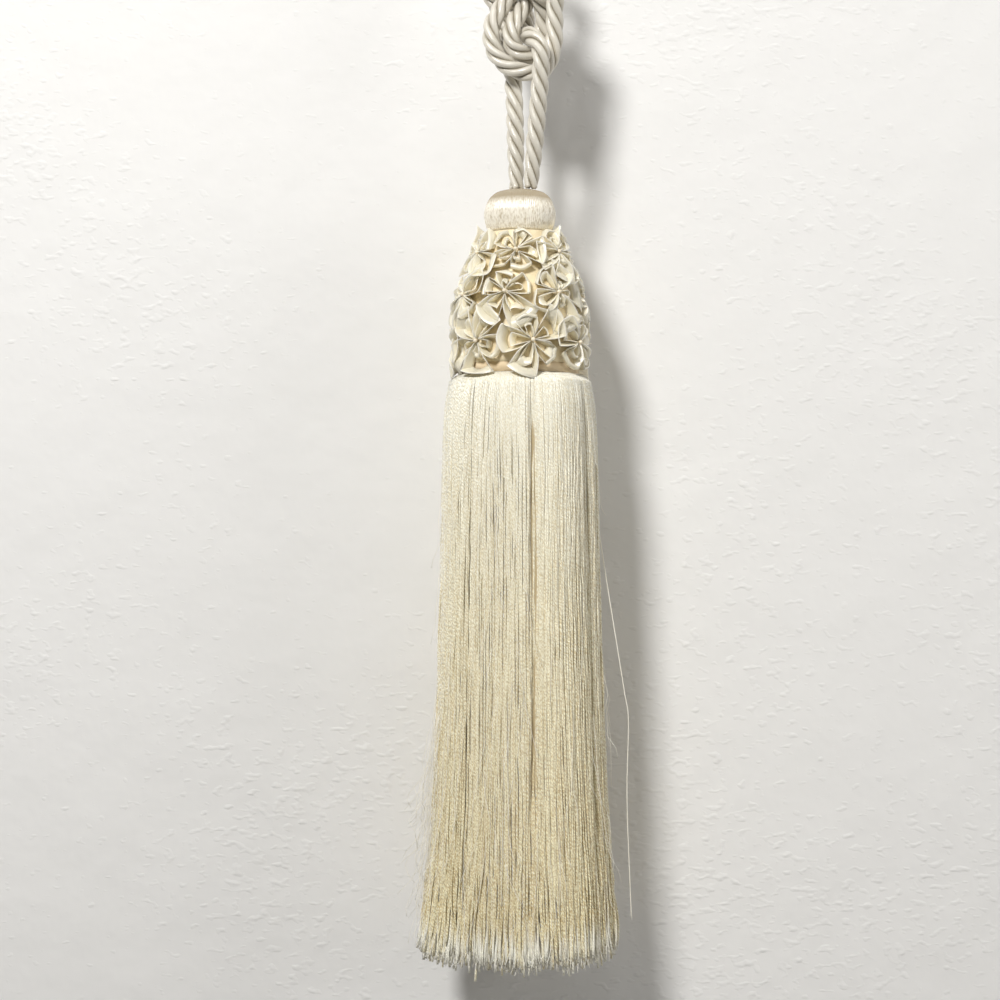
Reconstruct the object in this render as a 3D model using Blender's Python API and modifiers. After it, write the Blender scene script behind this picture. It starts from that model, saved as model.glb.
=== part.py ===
"""Curtain tieback tassel: a knotted doubled rope, a floss cap, a bell-shaped head
sewn over with ribbon rosettes, and a long thread skirt under it.

Metres, +Z up. The tassel hangs from the loop of its rope: the origin is the inside
of that loop at its top. The front of the tassel faces -Y.
"""
import math

import bmesh
import bpy
from mathutils import Vector

MM = 0.001

# ---------------------------------------------------------------- driving sizes
ROPE_DIAMETER = 6.5 * MM        # the rope as it is sold
TUBE_DIAMETER = 6.0 * MM        # pulled tight in the knot, the rope is a little thinner
KNOT_CENTRE = Vector((1.4 * MM, 0.0, -42.1 * MM))
GAP = 0.3 * MM                  # between pieces that touch

CAP_TOP = -94.5 * MM
HEAD_TOP = -109.9 * MM
HEAD_BOTTOM = -157.3 * MM
HEADING_TOP = HEAD_BOTTOM - GAP
HEADING_BOTTOM = -160.7 * MM
HEADING_RADIUS = 21.8 * MM
TAPE_THICKNESS = 2.0 * MM
SKIRT_TOP = HEADING_BOTTOM - GAP

RIBBON_WIDTH = 4.1 * MM         # the ribbon stands on edge, this far off the head
RIBBON_THICKNESS = 1.0 * MM
RIBBON_LIFT = 0.6 * MM          # from the head to the ribbon's inner edge
PETALS = 5

# The rope's middle line, in rope diameters from the middle of the knot.
# It leaves the cap, winds through the knot, makes the loop, and comes back.
# Columns: across (to the right), back, up.
TIE_ROUTE = (
    # left leg, and up behind the knot
    (-0.40, 0.35, -7.95), (-0.55, 0.55, -2.50), (-0.90, 1.65, 0.30), (-1.35, 1.96, 2.30),
    # over the left shoulder and across the front at the top
    (-2.00, 1.25, 3.52), (-1.80, -0.05, 4.37), (-0.75, -0.95, 4.60), (0.55, -1.15, 4.20),
    # down the right side, round the bottom and up the left side
    (1.62, -1.12, 3.10), (1.68, -0.78, 1.60), (1.60, -0.54, -0.30), (0.95, -0.45, -1.55),
    (-0.60, -0.55, -1.45), (-1.60, -0.45, -0.50), (-1.80, -0.30, 0.80), (-1.39, -0.21, 1.80),
    # out of the top of the knot, round the hanging loop, and in again
    (-0.65, -0.05, 3.09), (-0.61, 0.30, 4.60), (-1.30, 0.25, 5.70), (-0.90, 0.20, 6.75),
    (0.55, 0.20, 6.75), (1.00, 0.25, 5.70), (0.56, 0.35, 4.60), (0.28, 0.42, 3.11),
    # the inner turn, down on the left, round and up on the right
    (-0.02, 0.19, 2.11), (-0.62, -0.42, 1.00), (-0.65, -0.60, -0.10), (0.18, -0.36, -0.64),
    (1.06, 0.46, -0.15), (1.11, 0.57, 0.99), (1.01, 0.01, 2.12), (0.47, -1.01, 3.00),
    # across the front, over the left shoulder, and down behind
    (-0.86, -1.01, 3.50), (-1.71, 0.22, 3.17), (-0.01, 1.54, 2.25), (0.12, 0.86, 0.76),
    # out through the middle of the turns and down as the right leg
    (0.36, -0.83, 0.32), (0.85, -1.62, -0.55), (0.88, -1.40, -2.10), (0.38, -0.35, -7.95),
)
TUBE_POINTS_PER_STRETCH = 2

# Outlines of the turned pieces. Columns: depth below the piece's top, radius; millimetres.
CAP_OUTLINE = ((0.0, 6.4), (1.2, 9.0), (3.4, 11.0), (5.9, 12.1), (8.8, 12.7), (12.4, 12.2), (15.1, 11.2))
HEAD_OUTLINE = (
    (0.0, 11.2), (2.2, 12.2), (7.1, 14.2), (15.1, 17.6), (22.6, 20.0), (31.1, 21.3), (40.6, 21.6), (47.4, 21.2),
)
SKIRT_OUTLINE = (
    (0.0, 19.0), (0.8, 23.0), (2.6, 25.3), (8.9, 26.7), (19.7, 27.5), (45.0, 28.0), (81.0, 28.6),
    (115.0, 29.8), (150.0, 31.2), (184.0, 33.1), (197.0, 34.0), (204.5, 33.6), (200.5, 23.0),
)
SKIRT_MIDDLE_DEPTH = 202.0 * MM

# Rows of rosettes, top to bottom. Columns: name, how many, height of their middles, turn of
# the first one to the right of the front, and turn of its petals; degrees.
ROSETTE_ROWS = (
    ("a", 6, -117.6 * MM, -6.0, 20.0),
    ("b", 7, -132.8 * MM, -14.5, 0.0),
    ("c", 7, -150.0 * MM, -41.0, 31.0),
)
ROSETTE_RADIUS = 9.8 * MM       # of one with room all round it
ROSETTE_CLEARANCE = 0.95 * MM   # from the middle of a ribbon to the line half way to a neighbour
ROSETTES_TOP = -110.4 * MM
ROSETTES_BOTTOM = -159.9 * MM

# One petal of a rosette, seen from outside. Columns: share of the petal's turn, share of its reach.
PETAL_OUTLINE = ((-0.50, 0.30), (-0.25, 0.95), (0.00, 1.00), (0.25, 0.95))

# Partings that run down the skirt. Columns: turn to the right of the front, width, both in
# degrees, depth in millimetres, share of the skirt's length that they reach down to.
PARTINGS = (
    (9.0, 3.0, 2.0, 0.82), (59.0, 3.5, 1.6, 0.90), (-38.0, 3.0, 0.9, 0.95),
    (112.0, 4.0, 1.6, 0.85), (171.0, 3.5, 1.8, 0.90), (-128.0, 4.0, 1.5, 0.80), (-80.0, 3.5, 1.1, 0.95),
)
SKIRT_TEETH = 42
TOOTH_LENGTH = 7.0 * MM


# ---------------------------------------------------------------- scene and helpers
def clear_scene():
    for old in list(bpy.data.objects):
        bpy.data.objects.remove(old, do_unlink=True)


def new_material(name, colour, roughness):
    material = bpy.data.materials.new(name)
    material.use_nodes = True
    shader = material.node_tree.nodes["Principled BSDF"]
    shader.inputs["Base Color"].default_value = (*colour, 1.0)
    shader.inputs["Roughness"].default_value = roughness
    shader.inputs["Metallic"].default_value = 0.0
    return material


def add_object(name, data, material):
    obj = bpy.data.objects.new(name, data)
    data.materials.append(material)
    tassel.objects.link(obj)
    return obj


def direction(turn):
    """The way out from the axis at a turn, in radians to the right of the front."""
    return Vector((math.sin(turn), -math.cos(turn), 0.0))


def unevenness(turn, seed):
    """A smooth wobble from -1 to 1 all round the axis, the same each time."""
    waves = ((3, 1.7, 0.40), (7, 0.9, 0.35), (13, 2.3, 0.25))
    return sum(share * math.sin(count * turn + seed * shift) for count, shift, share in waves)


def outline_radius(outline, depth):
    """The radius of a turned outline at a depth below its top, in metres."""
    rows = [(below * MM, radius * MM) for below, radius in outline]
    if depth <= rows[0][0]:
        return rows[0][1]
    for (z0, r0), (z1, r1) in zip(rows, rows[1:]):
        if depth <= z1:
            return r0 + (r1 - r0) * (depth - z0) / (z1 - z0)
    return rows[-1][1]


def smooth_line(points, per_stretch):
    """Points along a smooth curve that passes through the given ones."""
    first = points[0] * 2 - points[1]
    last = points[-1] * 2 - points[-2]
    padded = [first, *points, last]
    line = []
    for a, b, c, d in zip(padded, padded[1:], padded[2:], padded[3:]):
        for step in range(per_stretch):
            t = step / per_stretch
            line.append(0.5 * (2 * b + (c - a) * t + (2 * a - 5 * b + 4 * c - d) * t ** 2
                               + (3 * b - a - 3 * c + d) * t ** 3))
    line.append(points[-1])
    return line


# ---------------------------------------------------------------- pieces
def make_tie_cord():
    """The rope: one round tube along its route through the knot and the loop."""
    points = [KNOT_CENTRE + Vector(row) * ROPE_DIAMETER for row in TIE_ROUTE]
    line = smooth_line(points, TUBE_POINTS_PER_STRETCH)
    curve = bpy.data.curves.new("tie_cord", "CURVE")
    curve.dimensions = "3D"
    curve.bevel_depth = TUBE_DIAMETER / 2
    curve.bevel_resolution = 2
    curve.use_fill_caps = True
    spline = curve.splines.new("POLY")
    spline.points.add(len(line) - 1)
    for point, place in zip(spline.points, line):
        point.co = (*place, 1.0)
    add_object("tie_cord", curve, rope_material)


def make_turned(name, outline, top, steps, material):
    """A solid turned piece: its outline with a Screw modifier round the Z axis."""
    rows = [(radius * MM, top - below * MM) for below, radius in outline]
    profile = [(0.0, rows[0][1]), *rows, (0.0, rows[-1][1])]
    mesh = bpy.data.meshes.new(name)
    mesh.from_pydata([(radius, 0.0, z) for radius, z in profile],
                     [(i, i + 1) for i in range(len(profile) - 1)], [])
    obj = add_object(name, mesh, material)
    add_screw(obj, steps)
    return obj


def add_screw(obj, steps):
    screw = obj.modifiers.new("Turn", "SCREW")
    screw.steps = steps
    screw.render_steps = steps
    screw.use_merge_vertices = True
    screw.merge_threshold = 0.00001
    screw.use_smooth_shade = True


def make_heading():
    """The tape that binds the skirt's top: a short closed ring."""
    inner = HEADING_RADIUS - TAPE_THICKNESS
    corners = [(inner, HEADING_TOP), (HEADING_RADIUS, HEADING_TOP),
               (HEADING_RADIUS, HEADING_BOTTOM), (inner, HEADING_BOTTOM)]
    mesh = bpy.data.meshes.new("skirt_heading")
    mesh.from_pydata([(radius, 0.0, z) for radius, z in corners], [(0, 1), (1, 2), (2, 3), (3, 0)], [])
    add_screw(add_object("skirt_heading", mesh, heading_material), 40)


def on_head(height, turn, off_head):
    """A place at a height and a turn, at a distance off the head's surface."""
    depth = HEAD_TOP - height
    head = outline_radius(HEAD_OUTLINE, depth)
    if depth > HEAD_OUTLINE[-2][0] * MM:
        head = max(head, HEADING_RADIUS)
    return direction(turn) * (head + off_head) + Vector((0.0, 0.0, height))


def place_rosettes():
    """Every rosette's name, height, turn, petal turn and radius out from the axis."""
    places = []
    for row, count, height, first, petal_turn in ROSETTE_ROWS:
        radius_out = on_head(height, 0.0, RIBBON_LIFT + RIBBON_WIDTH / 2).xy.length
        for i in range(count):
            turn = math.radians(first + i * 360.0 / count)
            petals = math.radians(petal_turn + 23.0 * i)
            places.append((f"rosette_{row}{i + 1}", height, turn, petals, radius_out))
    return places


def petal_reach(place, others, angle):
    """How far a petal runs at an angle: to its full length, or half way to what is beside it."""
    _, height, turn, _, radius_out = place
    limits = [(ROSETTES_TOP - height, 0.0), (height - ROSETTES_BOTTOM, math.pi)]
    for _, other_height, other_turn, _, other_radius in others:
        across = math.remainder(other_turn - turn, 2 * math.pi) * (radius_out + other_radius) / 2
        along = other_height - height
        if abs(across) < 3 * ROSETTE_RADIUS:
            limits.append((math.hypot(across, along) / 2 - ROSETTE_CLEARANCE, math.atan2(across, along)))
    reach = ROSETTE_RADIUS
    for distance, bearing in limits:
        facing = math.cos(angle - bearing)
        if facing > 0.05:
            reach = min(reach, distance / facing)
    return reach


def make_rosette(place, others):
    """Five loops of ribbon standing on edge: one closed strip, thickened."""
    name, height, centre_turn, petal_turn, radius_out = place
    share = 2 * math.pi / PETALS
    rings = []
    bm = bmesh.new()
    for off_head in (RIBBON_LIFT, RIBBON_LIFT + RIBBON_WIDTH):
        ring = []
        for petal in range(PETALS):
            for part, length in PETAL_OUTLINE:
                angle = petal_turn + (petal + part) * share
                out = petal_reach(place, others, angle) * length
                turn = centre_turn + out * math.sin(angle) / radius_out
                ring.append(bm.verts.new(on_head(height + out * math.cos(angle), turn, off_head)))
        rings.append(ring)
    inner, outer = rings
    for i in range(len(inner)):
        bm.faces.new((inner[i - 1], inner[i], outer[i], outer[i - 1]))
    bmesh.ops.recalc_face_normals(bm, faces=bm.faces)
    mesh = bpy.data.meshes.new(name)
    bm.to_mesh(mesh)
    bm.free()
    solidify = add_object(name, mesh, ribbon_material).modifiers.new("Ribbon thickness", "SOLIDIFY")
    solidify.thickness = RIBBON_THICKNESS
    solidify.offset = 0.0


def make_rosettes():
    places = place_rosettes()
    for place in places:
        make_rosette(place, [other for other in places if other is not place])


def parting_depth(turn, share_down):
    """How far the skirt's surface is drawn in by its partings."""
    depth = 0.0
    for right, width, deep, reach in PARTINGS:
        away = math.degrees(math.remainder(turn - math.radians(right), 2 * math.pi)) / width
        fade = min(1.0, max(0.0, (reach - share_down) * 8.0)) * min(1.0, share_down * 12.0)
        depth += deep * MM * math.exp(-away * away) * fade
    return depth


def make_skirt():
    """The thread skirt: a turned bell, parted down its length, with a toothed lower edge."""
    rows = [(radius * MM, SKIRT_TOP - below * MM) for below, radius in SKIRT_OUTLINE]
    bottom = SKIRT_TOP - SKIRT_MIDDLE_DEPTH
    profile = [(0.0, SKIRT_TOP), *rows, (0.0, bottom)]
    bm = bmesh.new()
    verts = [bm.verts.new((0.0, -radius, z)) for radius, z in profile]
    edges = [bm.edges.new(pair) for pair in zip(verts, verts[1:])]
    bmesh.ops.spin(bm, geom=verts + edges, cent=(0, 0, 0), axis=(0, 0, 1), angle=2 * math.pi,
                   steps=2 * SKIRT_TEETH, use_merge=True)
    bmesh.ops.remove_doubles(bm, verts=bm.verts, dist=0.00001)

    length = SKIRT_TOP - rows[-2][1]
    tips = rows[-2][1]
    for vert in bm.verts:
        radius = math.hypot(vert.co.x, vert.co.y)
        if radius < 20 * MM:
            continue
        turn = math.atan2(vert.co.x, -vert.co.y)
        share_down = (SKIRT_TOP - vert.co.z) / length
        column = round(turn / math.pi * SKIRT_TEETH)
        on_edge = vert.co.z < tips + 0.2 * MM
        fold = 0.35 * MM * unevenness(turn, 1.0 + 0.6 * share_down) * min(1.0, share_down * 10)
        radius += fold - parting_depth(turn, share_down)
        if on_edge:
            vert.co.z += 1.8 * MM * unevenness(turn, 4.0)
            if column % 2:
                vert.co.z += TOOTH_LENGTH
                radius -= 1.4 * MM
        vert.co.xy = direction(turn).xy * radius
    bmesh.ops.recalc_face_normals(bm, faces=bm.faces)
    mesh = bpy.data.meshes.new("skirt")
    bm.to_mesh(mesh)
    bm.free()
    mesh.shade_smooth()
    add_object("skirt", mesh, thread_material)


# ---------------------------------------------------------------- the tassel
clear_scene()
tassel = bpy.data.collections.new("curtain_tieback_tassel")
bpy.context.scene.collection.children.link(tassel)

rope_material = new_material("rope", (0.76, 0.72, 0.64), 0.45)
floss_material = new_material("floss", (0.86, 0.78, 0.66), 0.35)
satin_material = new_material("head_satin", (0.84, 0.72, 0.56), 0.4)
ribbon_material = new_material("ribbon", (0.90, 0.83, 0.70), 0.3)
heading_material = new_material("heading_tape", (0.80, 0.66, 0.50), 0.6)
thread_material = new_material("skirt_thread", (0.88, 0.82, 0.68), 0.4)

make_tie_cord()
make_turned("cap", CAP_OUTLINE, CAP_TOP, 32, floss_material)
make_turned("head_mould", HEAD_OUTLINE, HEAD_TOP, 40, satin_material)
make_rosettes()
make_heading()
make_skirt()
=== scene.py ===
# %% [markdown]
# # A curtain tieback tassel
#
# A tieback tassel is built from the top down: a twisted rope that is doubled and knotted,
# a small bulb bound with floss, a bell-shaped wooden head, and a skirt of several hundred
# threads sewn on under the head. On this one the head is covered with little rosettes,
# each a ribbon folded into five loops and stitched down through its middle.
#
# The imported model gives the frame: the place and size of each piece. The soft pieces there
# are plain solids, so each is replaced here by a piece with its real threads and folds.

# %% Load the frame
import math

import bmesh
import bpy
import numpy as np
from mathutils import Matrix, Vector


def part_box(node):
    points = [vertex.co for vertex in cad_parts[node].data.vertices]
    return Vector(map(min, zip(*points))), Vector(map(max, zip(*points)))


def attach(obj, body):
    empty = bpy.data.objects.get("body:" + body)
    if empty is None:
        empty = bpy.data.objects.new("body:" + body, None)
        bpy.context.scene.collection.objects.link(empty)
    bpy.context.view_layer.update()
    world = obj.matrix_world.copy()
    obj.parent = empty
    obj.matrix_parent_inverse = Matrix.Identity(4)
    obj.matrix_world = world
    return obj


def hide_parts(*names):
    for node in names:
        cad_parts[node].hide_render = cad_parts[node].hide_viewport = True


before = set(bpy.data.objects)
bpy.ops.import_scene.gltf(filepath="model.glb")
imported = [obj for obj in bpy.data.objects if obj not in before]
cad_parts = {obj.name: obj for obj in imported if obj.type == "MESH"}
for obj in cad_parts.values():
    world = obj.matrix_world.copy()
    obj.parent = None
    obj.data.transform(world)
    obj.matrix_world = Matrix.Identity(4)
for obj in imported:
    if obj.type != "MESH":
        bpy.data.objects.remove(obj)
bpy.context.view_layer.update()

MM = 0.001
cap_low, cap_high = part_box("cap")
head_low, head_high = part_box("head_mould")
heading_low, heading_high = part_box("skirt_heading")
skirt_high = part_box("skirt")[1]

# %% [markdown]
# ## Camera
#
# The tassel is seen straight on, from about an arm's length. At that distance the near side
# of the skirt's round hem sits visibly lower than its sides, which a long lens would lose.

# %% Set the camera
CAMERA_DISTANCE = 0.70
VIEW_WIDTH = 0.36
VIEW_CENTRE = Vector((-0.0072, 0.0, -0.2059))
camera_data = bpy.data.cameras.new("camera")
camera_data.sensor_width = 36.0
camera_data.lens = camera_data.sensor_width * CAMERA_DISTANCE / VIEW_WIDTH
camera = bpy.data.objects.new("camera", camera_data)
bpy.context.scene.collection.objects.link(camera)
camera.location = VIEW_CENTRE + Vector((0.0, -CAMERA_DISTANCE, 0.0))
camera.rotation_euler = (math.radians(90.0), 0.0, 0.0)
bpy.context.scene.camera = camera
print("camera: lens", round(camera_data.lens, 1), "mm")

# %% [markdown]
# ## Helpers for shapes
#
# Most of a tassel is thread, and a thread is a thin tube along a line. Blender's curve object
# sweeps a round section along a line, so many threads are splines of one curve, which is then
# turned into a mesh. The sweep lays its rings down in order, so each point's place round and
# along its thread is known from its number alone, and goes into a UV map that the materials read:
# U goes once round the thread, and V is the distance along it in millimetres.


# %% Threads: one tube along each line
def show(name, mesh, material):
    """Link a finished mesh as a piece of the tassel."""
    obj = bpy.data.objects.new(name, mesh)
    bpy.context.scene.collection.objects.link(obj)
    mesh.materials.clear()
    mesh.materials.append(material)
    mesh.shade_smooth()
    return obj


def sweep(name, lines, thickness, resolution):
    """A mesh of closed round tubes, one along each line."""
    curve = bpy.data.curves.new(name, "CURVE")
    curve.dimensions = "3D"
    curve.bevel_depth = thickness / 2
    curve.bevel_resolution = resolution
    for line in lines:
        spline = curve.splines.new("POLY")
        spline.points.add(len(line) - 1)
        spline.points.foreach_set("co", np.column_stack([line, np.ones(len(line))]).ravel())
    holder = bpy.data.objects.new(name, curve)
    bpy.context.scene.collection.objects.link(holder)
    bpy.context.view_layer.update()
    mesh = bpy.data.meshes.new_from_object(holder.evaluated_get(bpy.context.evaluated_depsgraph_get()))
    bpy.data.objects.remove(holder, do_unlink=True)
    bpy.data.curves.remove(curve)
    map_tubes(mesh, lines, 4 + 2 * resolution)
    close_ends(mesh, 4 + 2 * resolution)
    mesh.name = name
    return mesh


def map_tubes(mesh, lines, ring):
    """Write the UV map of swept tubes, and each tube's own random tone."""
    along, tube = [], []
    for number, line in enumerate(lines):
        steps = np.linalg.norm(np.diff(line, axis=0), axis=1)
        along.append(np.repeat(np.concatenate([[0.0], np.cumsum(steps)]) / MM, ring))
        tube.append(np.full(len(line) * ring, number))
    along, tube = np.concatenate(along), np.concatenate(tube)
    assert len(along) == len(mesh.vertices), "the sweep made another number of points"
    corner = np.empty(len(mesh.loops), dtype=int)
    mesh.loops.foreach_get("vertex_index", corner)
    side = (corner % ring).reshape(-1, 4).astype(float)
    crosses = side.max(axis=1) - side.min(axis=1) > 1.5
    side[(side == 0) & crosses[:, None]] = ring
    mesh.uv_layers.new(name="thread_uv").data.foreach_set(
        "uv", np.column_stack([side.ravel() / ring, along[corner]]).ravel())
    tones = np.random.default_rng(5).random(len(lines))
    mesh.attributes.new("tone", "FLOAT", "POINT").data.foreach_set("value", tones[tube])


def close_ends(mesh, ring):
    bm = bmesh.new()
    bm.from_mesh(mesh)
    open_edges = [edge for edge in bm.edges if edge.is_boundary]
    bmesh.ops.holes_fill(bm, edges=open_edges, sides=ring)
    bmesh.ops.recalc_face_normals(bm, faces=bm.faces)
    bm.to_mesh(mesh)
    bm.free()


def finished(name, bm):
    """A mesh made from the bmesh, which is freed."""
    mesh = bpy.data.meshes.new(name)
    bm.to_mesh(mesh)
    bm.free()
    return mesh


def coordinates(mesh):
    places = np.empty(len(mesh.vertices) * 3)
    mesh.vertices.foreach_get("co", places)
    return places.reshape(-1, 3)


def direction(turn):
    """The way out from the axis, at a turn to the right of the front."""
    return np.stack([np.sin(turn), -np.cos(turn), np.zeros_like(turn)], axis=-1)


def along_outline(outline, depth):
    """The radius of a turned outline at a depth below its top, both in metres."""
    table = np.array(outline) * MM
    return np.interp(depth, table[:, 0], table[:, 1])


def smooth_line(points, per_stretch, closed=False):
    """Points along a smooth curve that passes through the given ones."""
    points = np.asarray(points, dtype=float)
    if closed:
        padded = np.vstack([points[-1:], points, points[:2]])
    else:
        padded = np.vstack([2 * points[0] - points[1], points, 2 * points[-1] - points[-2]])
    t = np.linspace(0.0, 1.0, per_stretch, endpoint=False)[:, None]
    line = []
    for a, b, c, d in zip(padded, padded[1:], padded[2:], padded[3:]):
        line.append(0.5 * (2 * b + (c - a) * t + (2 * a - 5 * b + 4 * c - d) * t**2
                           + (3 * b - a - 3 * c + d) * t**3))
    if not closed:
        line.append(points[-1:])
    return np.vstack(line)


def evenly(line, step):
    """The same line with points an even step apart."""
    run = np.concatenate([[0.0], np.cumsum(np.linalg.norm(np.diff(line, axis=0), axis=1))])
    at = np.linspace(0.0, run[-1], max(2, round(run[-1] / step)) + 1)
    return np.column_stack([np.interp(at, run, line[:, axis]) for axis in range(3)]), at


# %% [markdown]
# ## Helpers for finishes
#
# Two effects come back in several finishes, so each is a node group that is built once.
# Yarn twist is the slanting ridges of a twisted thread, and uneven tone is the slow change of
# colour that silk and rayon have from place to place.


# %% Node groups
def new_group(name, inputs, outputs):
    group = bpy.data.node_groups.new(name, "ShaderNodeTree")
    for label, kind, value in inputs:
        socket = group.interface.new_socket(label, in_out="INPUT", socket_type=kind)
        if value is not None:
            socket.default_value = value
    for label, kind in outputs:
        group.interface.new_socket(label, in_out="OUTPUT", socket_type=kind)
    return group, group.nodes.new("NodeGroupInput"), group.nodes.new("NodeGroupOutput")


def feed(tree, socket, value):
    """Give a socket a plain value, or join another node's output to it."""
    if isinstance(value, bpy.types.NodeSocket):
        tree.links.new(value, socket)
    else:
        socket.default_value = value


def maths(tree, operation, *values):
    """A Math node; each value is a number or another node's output. Returns its output."""
    node = tree.nodes.new("ShaderNodeMath")
    node.operation = operation
    for socket, value in zip(node.inputs, values):
        feed(tree, socket, value)
    return node.outputs[0]


def noise(tree, place, scale, detail=2.0):
    node = tree.nodes.new("ShaderNodeTexNoise")
    feed(tree, node.inputs["Scale"], scale)
    node.inputs["Detail"].default_value = detail
    tree.links.new(place, node.inputs["Vector"])
    return node.outputs["Fac"]


def stretched(tree, place, scale):
    """The place with each of its directions scaled, so that a pattern on it is drawn out."""
    node = tree.nodes.new("ShaderNodeVectorMath")
    node.operation = "MULTIPLY"
    node.inputs[1].default_value = scale
    tree.links.new(place, node.inputs[0])
    return node.outputs["Vector"]


def split_place(tree, place):
    """The outputs X, Y and Z of a place."""
    node = tree.nodes.new("ShaderNodeSeparateXYZ")
    tree.links.new(place, node.inputs[0])
    return node.outputs


def mixed(tree, amount, first, second):
    """A mix of two colours; each is a colour or another node's output."""
    node = tree.nodes.new("ShaderNodeMix")
    node.data_type = "RGBA"
    node.clamp_factor = True
    for label, value in (("Factor", amount), ("A", first), ("B", second)):
        feed(tree, node.inputs[label], value)
    return node.outputs["Result"]


def build_yarn_twist():
    """Ridges that wind round a thread. Turns is how many start round it, and Pitch is the
    length in millimetres after which one comes round again."""
    group, start, end = new_group(
        "yarn_twist",
        [("Place", "NodeSocketVector", None), ("Turns", "NodeSocketFloat", 2.0),
         ("Pitch", "NodeSocketFloat", 3.0), ("Wander", "NodeSocketFloat", 0.3)],
        [("Ridge", "NodeSocketFloat")])
    split = split_place(group, start.outputs["Place"])
    wander = noise(group, stretched(group, start.outputs["Place"], (0.7, 0.35, 1.0)), 1.0)
    wander = maths(group, "MULTIPLY", wander, start.outputs["Wander"])
    round_it = maths(group, "MULTIPLY", split["X"], start.outputs["Turns"])
    along_it = maths(group, "DIVIDE", split["Y"], start.outputs["Pitch"])
    phase = maths(group, "ADD", maths(group, "ADD", round_it, along_it), wander)
    phase = maths(group, "ADD", phase, split["Z"])
    wave = maths(group, "SINE", maths(group, "MULTIPLY", phase, 2 * math.pi))
    ridge = maths(group, "MULTIPLY_ADD", wave, 0.5, 0.5)
    group.links.new(ridge, end.inputs["Ridge"])
    return group


def build_uneven_tone():
    """Mixes a light and a dark colour by a slow noise and a thread's own tone."""
    group, start, end = new_group(
        "uneven_tone",
        [("Place", "NodeSocketVector", None), ("Scale", "NodeSocketFloat", 40.0),
         ("Light", "NodeSocketColor", (1, 1, 1, 1)), ("Dark", "NodeSocketColor", (0.5, 0.5, 0.5, 1)),
         ("Shade", "NodeSocketFloat", 0.0)],
        [("Colour", "NodeSocketColor")])
    cloud = noise(group, start.outputs["Place"], start.outputs["Scale"], 3.0)
    amount = maths(group, "MULTIPLY_ADD", cloud, 1.2, -0.35)
    amount = maths(group, "ADD", amount, start.outputs["Shade"])
    colour = mixed(group, amount, start.outputs["Light"], start.outputs["Dark"])
    group.links.new(colour, end.inputs["Colour"])
    return group


yarn_twist = build_yarn_twist()
uneven_tone = build_uneven_tone()
print("node groups:", yarn_twist.name, uneven_tone.name)


# %% Materials: the parts that every finish shares
def new_material(name, roughness, sheen=0.0, specular=0.5):
    material = bpy.data.materials.new(name)
    material.use_nodes = True
    shader = material.node_tree.nodes["Principled BSDF"]
    shader.inputs["Roughness"].default_value = roughness
    shader.inputs["Specular IOR Level"].default_value = specular
    shader.inputs["Sheen Weight"].default_value = sheen
    shader.inputs["Sheen Roughness"].default_value = 0.4
    return material, material.node_tree, shader


def use_group(tree, group, **values):
    node = tree.nodes.new("ShaderNodeGroup")
    node.node_tree = group
    for label, value in values.items():
        feed(tree, node.inputs[label], value)
    return node.outputs[0]


def toned(tree, place, scale, light, dark, shade=0.0):
    """A colour that goes unevenly between a light and a dark one."""
    return use_group(tree, uneven_tone, Place=place, Scale=scale, Light=(*light, 1), Dark=(*dark, 1),
                     Shade=shade)


def thread_place(tree):
    """Round the thread, millimetres along it, and a number that is each thread's own."""
    node = tree.nodes.new("ShaderNodeUVMap")
    node.uv_map = "thread_uv"
    own = tree.nodes.new("ShaderNodeCombineXYZ")
    tree.links.new(maths(tree, "MULTIPLY", attribute(tree, "tone"), 97.0), own.inputs["Z"])
    add = tree.nodes.new("ShaderNodeVectorMath")
    tree.links.new(node.outputs["UV"], add.inputs[0])
    tree.links.new(own.outputs["Vector"], add.inputs[1])
    return add.outputs["Vector"]


def object_place(tree):
    return tree.nodes.new("ShaderNodeTexCoord").outputs["Object"]


def attribute(tree, name):
    node = tree.nodes.new("ShaderNodeAttribute")
    node.attribute_name = name
    return node.outputs["Fac"]


def add_bump(tree, shader, height, distance, strength=1.0):
    bump = tree.nodes.new("ShaderNodeBump")
    bump.inputs["Strength"].default_value = strength
    bump.inputs["Distance"].default_value = distance
    tree.links.new(height, bump.inputs["Height"])
    tree.links.new(bump.outputs["Normal"], shader.inputs["Normal"])
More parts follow.
